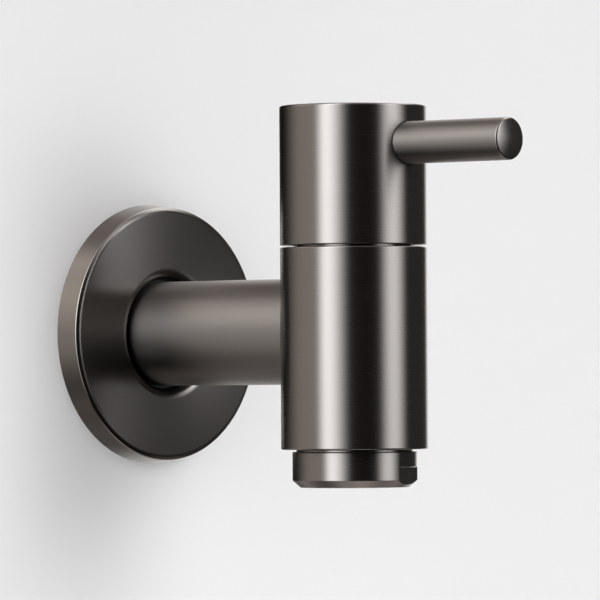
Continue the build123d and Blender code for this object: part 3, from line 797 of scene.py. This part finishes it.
# %% Make a finish
def around(tree, lathe):
    """The world direction that runs round a lathe axis, at each point of a piece."""
    position = put(tree, "ShaderNodeTexCoord").outputs["Object"]
    arm = vector_figure(tree, "SUBTRACT", position, (lathe.origin * mm).tolist())
    along_lines = vector_figure(tree, "CROSS_PRODUCT", lathe.along.tolist(), arm)
    to_world = {"convert_from": "OBJECT", "convert_to": "WORLD", "vector_type": "VECTOR"}
    return put(tree, "ShaderNodeVectorTransform", to_world, vector=along_lines).outputs[0]


def finish_with(name, slot, group, sizes, shine, colour_swing, bump, lathe=None):
    """A material from a pattern group: its colour varies a little about the slot's own."""
    material = bpy.data.materials.new(name)
    material.use_nodes = True
    tree = material.node_tree
    shader = tree.nodes["Principled BSDF"]
    position = put(tree, "ShaderNodeTexCoord").outputs["Object"]
    if lathe is not None:
        turn = Matrix(np.column_stack([lathe.across, lathe.away, lathe.along]).tolist())
        position = put(
            tree,
            "ShaderNodeMapping",
            {"vector_type": "TEXTURE"},
            vector=position,
            location=(lathe.origin * mm).tolist(),
            rotation=turn.to_euler(),
        ).outputs[0]
        tree.links.new(around(tree, lathe), shader.inputs["Tangent"])
    pattern = put(tree, "ShaderNodeGroup", {"node_tree": group}, position=position, **sizes).outputs
    colour = np.array(slots[slot]["base_color"])
    darker = (*(colour * (1 - colour_swing)), 1.0)
    lighter = (*np.minimum(colour * (1 + colour_swing), 1.0), 1.0)
    tone = mixed(tree, pattern["Tone"], darker, lighter)
    relief = put(tree, "ShaderNodeBump", height=pattern["Height"], strength=1.0, distance=bump)
    tree.links.new(tone, shader.inputs["Base Color"])
    tree.links.new(pattern["Roughness"], shader.inputs["Roughness"])
    tree.links.new(relief.outputs[0], shader.inputs["Normal"])
    for socket, value in shine.items():
        shader.inputs[socket].default_value = value
    return material


# %% [markdown]
# ## Gunmetal, brass and steel
#
# The pieces that show have one dark satin finish, brushed on the lathe. Fine lines
# spread a highlight across themselves, and the shader's anisotropy does this when it is
# turned a quarter from the tangent. In the photograph the highlights are softer and
# longer on the pipe and the lever than on the body, and short on the flange's bevel and
# the lever's end, so each part has a roughness and a stretch of its own. Inside, the
# valve is machined brass. From just under the body's top upwards it is painted the dark
# gunmetal colour, as painted shade where its flange shows in the seam. Circlip, screens
# and screw are steel.

# %% Make the metal finishes
quarter_turn = 0.25
metal_colour_swing = 0.03


def turned_finish(name, slot, lathe, line_width, roughness, spread, bump, stretch=0.75):
    """Brushed or machined metal with lines round a lathe axis, and highlights across them."""
    sizes = {"line_width": line_width, "roughness": roughness, "spread": spread}
    shine = {"Metallic": 1.0, "Anisotropic": stretch, "Anisotropic Rotation": quarter_turn}
    return finish_with(name, slot, lines_group, sizes, shine, metal_colour_swing, bump, lathe)


def satin_finish(part, lathe, roughness, stretch):
    """The dark satin finish as it is on one part."""
    satin = {"line_width": 0.00014, "spread": 0.015, "bump": 4.5e-7}
    name = f"satin gunmetal {part}"
    return turned_finish(name, "gunmetal", lathe, roughness=roughness, stretch=stretch, **satin)


def paint_seam_shade_above(material, height_mm, slot):
    """Paints the part of a piece above a height in the plain colour of another slot, as painted shade."""
    tree = material.node_tree
    colour_socket = tree.nodes["Principled BSDF"].inputs["Base Color"]
    bare = colour_socket.links[0].from_socket
    position = put(tree, "ShaderNodeTexCoord").outputs["Object"]
    height = put(tree, "ShaderNodeSeparateXYZ", vector=position).outputs[2]
    in_seam_shade = figure(tree, "GREATER_THAN", height, height_mm * mm)
    colour = (*slots[slot]["base_color"], 1.0)
    tree.links.new(mixed(tree, in_seam_shade, bare, colour), colour_socket)


upright_satin = satin_finish("turned upright", upright, roughness=0.27, stretch=0.75)
pipe_satin = satin_finish("pipe", inlet, roughness=0.34, stretch=0.84)
lever_satin = satin_finish("lever", lever, roughness=0.39, stretch=0.89)
face_satin = satin_finish("flange face", inlet, roughness=0.23, stretch=0.6)
rim_satin = satin_finish("flange rim", inlet, roughness=0.2, stretch=0.1)
end_satin = satin_finish("lever end", lever, roughness=0.25, stretch=0.2)

machined = {"line_width": 0.00025, "roughness": 0.24, "spread": 0.05, "bump": 4e-6}
# Painted shade: above this height the valve's flange takes the dark gunmetal colour, standing in for the shade in
# the seam.
seam_shade_start = body_top - 0.3
brass = turned_finish("machined brass", "valve_brass", upright, **machined)
paint_seam_shade_above(brass, seam_shade_start, "gunmetal")
steel = turned_finish("bright spring steel", "stainless", upright, **machined)
screw_steel = turned_finish("bright screw steel", "stainless", lever, **machined)
print("metal finishes: six of satin gunmetal", brass.name, steel.name, screw_steel.name, sep=", ")

# %% [markdown]
# ## Rubber, ceramic and plastic
#
# The seals are black rubber with a visible grain. The two discs are lapped so flat that
# they seal on a film of water, and a thin coat layer gives them that wet shine. The
# washers and the aerator's inside are acetal, white or grey.

# %% Make the moulded finishes
grain_spread = 0.06
moulded_colour_swing = 0.05
lapped = {"Coat Weight": 0.3, "Coat Roughness": 0.08}


def moulded_finish(name, slot, grain_size, roughness, bump, shine):
    """Rubber, plastic or ceramic with a moulded grain."""
    sizes = {"grain_size": grain_size, "roughness": roughness, "spread": grain_spread}
    return finish_with(name, slot, grain_group, sizes, shine, moulded_colour_swing, bump)


rubber = moulded_finish("black seal rubber", "black_rubber", 0.0002, 0.55, 8e-6, {})
ceramic = moulded_finish("lapped white ceramic", "ceramic", 0.00008, 0.18, 1e-6, lapped)
white_acetal = moulded_finish("white acetal", "white_plastic", 0.00025, 0.42, 5e-6, {})
grey_acetal = moulded_finish("grey acetal", "grey_plastic", 0.00025, 0.45, 5e-6, {})
moulded = [rubber, ceramic, white_acetal, grey_acetal]
print("moulded finishes:", ", ".join(material.name for material in moulded))

# %% [markdown]
# ## A finish for every piece
#
# The pieces drawn here take the satin finishes, and the CAD nodes inside keep their
# shape and get a finish in place of the plain colour that they came with. The lever's end
# and the flange's bevel and rim have a finish of their own. They belong to the same mesh,
# so their faces are picked by radius and height on the lathe.

# %% Give out the finishes
finishes = {
    upright_satin: [faucet_body, handle_shell, aerator_housing],
    pipe_satin: [inlet_shank],
    face_satin: [escutcheon],
    lever_satin: [lever_rod],
    brass: ["cartridge_housing", "spindle", "stop_ring"],
    steel: ["spindle_circlip", "aerator_screen_upper", "aerator_screen_lower"],
    screw_steel: ["handle_set_screw"],
    rubber: [
        "escutcheon_grip_ring",
        "housing_o_ring",
        "seat_seal",
        "spindle_o_ring_lower",
        "spindle_o_ring_upper",
        "aerator_washer",
    ],
    ceramic: ["stator_disc", "rotor_disc"],
    white_acetal: ["slip_washer", "aerator_strainer"],
    grey_acetal: ["aerator_core", "aerator_grid"],
}
for material, pieces in finishes.items():
    for piece in pieces:
        piece = nodes[piece] if isinstance(piece, str) else piece
        piece.data.materials.clear()
        piece.data.materials.append(material)


def second_finish(piece, material, lathe, chosen):
    """Gives a second material to the faces whose radius and height on a lathe are chosen."""
    mesh = piece.data
    mesh.materials.append(material)
    middles = np.empty(3 * len(mesh.polygons))
    mesh.polygons.foreach_get("center", middles)
    arms = middles.reshape(-1, 3) / mm - lathe.origin
    height = arms @ lathe.along
    radius = np.linalg.norm(arms - height[:, None] * lathe.along, axis=1)
    faces = chosen(radius, height).astype(np.int32)
    mesh.polygons.foreach_set("material_index", faces)
    print(f"{material.name}: {faces.sum()} faces")


end_start = lever_reach - dome_rise - lever_edge / 2
rim_start = face_r + 0.3
second_finish(lever_rod, end_satin, lever, lambda radius, height: height > end_start)
second_finish(escutcheon, rim_satin, inlet, lambda radius, height: radius > rim_start)
print("finished pieces:", sum(len(pieces) for pieces in finishes.values()))

# %% [markdown]
# ## Wall and floor
#
# The faucet hangs on a pale wall above a pale floor. Both take the faucet's shadow, but
# they block no light and aren't mirrored in the metal, because in the photograph it shows
# a dark studio. They are seen from the front only: from behind or below, their material
# lets the view through, so that the object can be looked at from all sides.

# %% Put up the wall and the floor
wall_left, wall_right, wall_top, floor_z = -220.0, 480.0, 330.0, -300.0
floor_side, floor_front, floor_back = 900.0, -900.0, 600.0
wall_colour, floor_colour = (0.85, 0.86, 0.855), (0.575, 0.585, 0.59)
matt = 0.8


def stage_panel(name, corners, colour):
    """One flat face that is pale in front and lets the view through from behind."""
    mesh = bpy.data.meshes.new(name)
    mesh.from_pydata((np.array(corners) * mm).tolist(), [], [(0, 1, 2, 3)])
    panel = bpy.data.objects.new(name, mesh)
    bpy.context.scene.collection.objects.link(panel)
    material = bpy.data.materials.new(name)
    material.use_nodes = True
    tree = material.node_tree
    shader = tree.nodes["Principled BSDF"]
    shader.inputs["Base Color"].default_value = (*colour, 1.0)
    shader.inputs["Roughness"].default_value = matt
    behind = put(tree, "ShaderNodeNewGeometry").outputs["Backfacing"]
    clear = put(tree, "ShaderNodeBsdfTransparent").outputs[0]
    either = put(tree, "ShaderNodeMixShader", i0=behind, i1=shader.outputs[0], i2=clear)
    tree.links.new(either.outputs[0], tree.nodes["Material Output"].inputs["Surface"])
    mesh.materials.append(material)
    panel.visible_glossy = False
    panel.visible_shadow = False
    print(name, "corners", corners)


stage_panel(
    "wall",
    [
        (wall_left, 0, floor_z),
        (wall_right, 0, floor_z),
        (wall_right, 0, wall_top),
        (wall_left, 0, wall_top),
    ],
    wall_colour,
)
stage_panel(
    "floor",
    [
        (-floor_side, floor_front, floor_z),
        (floor_side, floor_front, floor_z),
        (floor_side, floor_back, floor_z),
        (-floor_side, floor_back, floor_z),
    ],
    floor_colour,
)

# %% [markdown]
# ## Directions in the studio
#
# Dark satin metal shows little but its reflections, so the light is drawn as the metal
# sees it, and is painted on the world by direction. Turn is the angle round from the
# front, positive to the right, and rise is the angle above the level, both in degrees.
# `level` is a smooth curve over either of them, made of smooth steps that add up.

# %% Measure directions on the world
degrees = 180 / math.pi

world = bpy.data.worlds.new("studio")
bpy.context.scene.world = world
world.use_nodes = True
sky = world.node_tree
direction = put(sky, "ShaderNodeTexCoord").outputs["Generated"]
x_part, y_part, z_part = put(sky, "ShaderNodeSeparateXYZ", vector=direction).outputs
frontwards = figure(sky, "MULTIPLY", y_part, -1.0)
turn = figure(sky, "MULTIPLY", figure(sky, "ARCTAN2", x_part, frontwards), degrees)
rise = figure(sky, "MULTIPLY", figure(sky, "ARCSINE", z_part), degrees)


def smooth_step(value, low, high):
    """0 below low, 1 above high, and a smooth way between."""
    settings = {"interpolation_type": "SMOOTHSTEP"}
    ramp = put(sky, "ShaderNodeMapRange", settings, value=value, from_min=low, from_max=high)
    return ramp.outputs[0]


def level(value, *steps):
    """A smooth curve through (place, height) steps, with the first and last held on."""
    (last_place, height), *later = steps
    total = height
    for place, next_height in later:
        rise_share = smooth_step(value, last_place, place)
        step = figure(sky, "MULTIPLY", rise_share, next_height - height)
        total = figure(sky, "ADD", total, step)
        last_place, height = place, next_height
    return total


# %% [markdown]
# ## Softboxes and fields
#
# Two softboxes give the long highlights: one at the far left and one a little to the
# right of the front. A strip high on the right lights the upper edges. The rest are
# weak fields that keep the metal's dark sides from going black, each where a side of the
# faucet in the photograph is lighter than the studio, and the rim panel stands for the
# pale background that shows in the rims. A panel has the turns where it starts and ends,
# the half widths of its two soft edges, its strength at several rises, and its colour.

# %% List the panels
panels = [
    {
        "name": "left softbox",
        "turn": (-101, -71),
        "edges": (10, 19),
        "rises": [(-60, 0.03), (-30, 0.35), (25, 1.5), (62, 0.75), (85, 0.25)],
        "colour": (4.9, 4.9, 5.05),
    },
    {
        "name": "front softbox",
        "turn": (4, 34),
        "edges": (12, 13),
        "rises": [(-30, 0), (-12, 0.22), (8, 1.18), (26, 1.5), (40, 0.4), (52, 0.1)],
        "colour": (3.75, 3.75, 3.85),
    },
    {
        "name": "high strip on the right",
        "turn": (52, 118),
        "edges": (12, 12),
        "rises": [(30, 0), (43, 1.0), (56, 1.0), (70, 0.2)],
        "colour": (3.2, 3.2, 3.2),
    },
    {
        "name": "rim panel",
        "turn": (108, 140),
        "edges": (6, 14),
        "rises": [(-60, 0.2), (0, 1.0)],
        "colour": (1.15, 1.13, 1.11),
    },
    {
        "name": "faint field on the right",
        "turn": (52, 104),
        "edges": (12, 8),
        "rises": [(-60, 0.2), (0, 1.0)],
        "colour": (0.06, 0.06, 0.058),
    },
    {
        "name": "field on the left",
        "turn": (-150, -104),
        "edges": (34, 10),
        "rises": [(-36, 0.02), (-4, 0.97), (28, 1.8), (46, 0.85), (70, 0.5)],
        "colour": (0.77, 0.7, 0.64),
    },
    {
        "name": "low field on the left",
        "turn": (-176, -132),
        "edges": (20, 14),
        "rises": [(-62, 0.1), (-42, 0.42), (-22, 1.0), (0, 0.1), (20, 0)],
        "colour": (0.82, 0.74, 0.68),
    },
    {
        "name": "high field at the back",
        "turn": (-162, -138),
        "edges": (14, 12),
        "rises": [(4, 0), (30, 1.0), (42, 0.8), (60, 0)],
        "colour": (1.2, 1.14, 1.08),
    },
    {
        "name": "low field at the back",
        "turn": (122, 196),
        "edges": (30, 22),
        "rises": [(-75, 0.4), (-52, 0.42), (-34, 1.0), (-14, 0)],
        "colour": (0.5, 0.47, 0.46),
    },
    {
        "name": "low field on the right",
        "turn": (68, 112),
        "edges": (22, 20),
        "rises": [(-80, 0.8), (-48, 0.8), (-30, 0)],
        "colour": (0.9, 0.8, 0.77),
    },
]
print("light panels:", ", ".join(panel["name"] for panel in panels))

# %% [markdown]
# ## Light the studio
#
# The dark studio, the light from straight above and below, and the panels add up to one
# glow. The camera sees a plain pale background in its place, and so would anything clear
# in front of it. Is Glossy Ray is left out of that choice on purpose: the metal in the
# photograph shows the dark studio and its softboxes, and not the pale background.

# %% Paint the world
dark_studio = (0.015, 0.012, 0.01)
above_and_below = [(-82, 0.85), (-58, 0), (26, 0.0), (48, 0.5)]
above_and_below_colour = (1.0, 0.88, 0.84)
pale_background = (0.86, 0.86, 0.86, 1.0)


def scaled(colour, share):
    """A colour times a share."""
    settings = {"operation": "SCALE"}
    return put(sky, "ShaderNodeVectorMath", settings, vector=colour, scale=share).outputs[0]


def panel_share(panel):
    """A smooth band in turn, from one edge to the other, times a smooth curve in rise."""
    low_side, high_side = panel["turn"]
    low_edge, high_edge = panel["edges"]
    middle, half = (low_side + high_side) / 2, (high_side - low_side) / 2
    offset = figure(sky, "WRAP", figure(sky, "SUBTRACT", turn, middle), 180.0, -180.0)
    enter = smooth_step(offset, -half - low_edge, -half + low_edge)
    leave = smooth_step(offset, half - high_edge, half + high_edge)
    band = figure(sky, "SUBTRACT", enter, leave)
    return figure(sky, "MULTIPLY", band, level(rise, *panel["rises"]))


glow = scaled(above_and_below_colour, level(rise, *above_and_below))
glow = vector_figure(sky, "ADD", glow, dark_studio)
for panel in panels:
    light = scaled(panel["colour"], panel_share(panel))
    glow = vector_figure(sky, "ADD", glow, light)
ray = put(sky, "ShaderNodeLightPath").outputs
seen = figure(sky, "MAXIMUM", ray["Is Camera Ray"], ray["Is Transmission Ray"])
shown = mixed(sky, seen, glow, pale_background)
sky.links.new(shown, sky.nodes["Background"].inputs["Color"])
bpy.context.scene.view_settings.view_transform = "Standard"
print("world nodes:", len(sky.nodes))
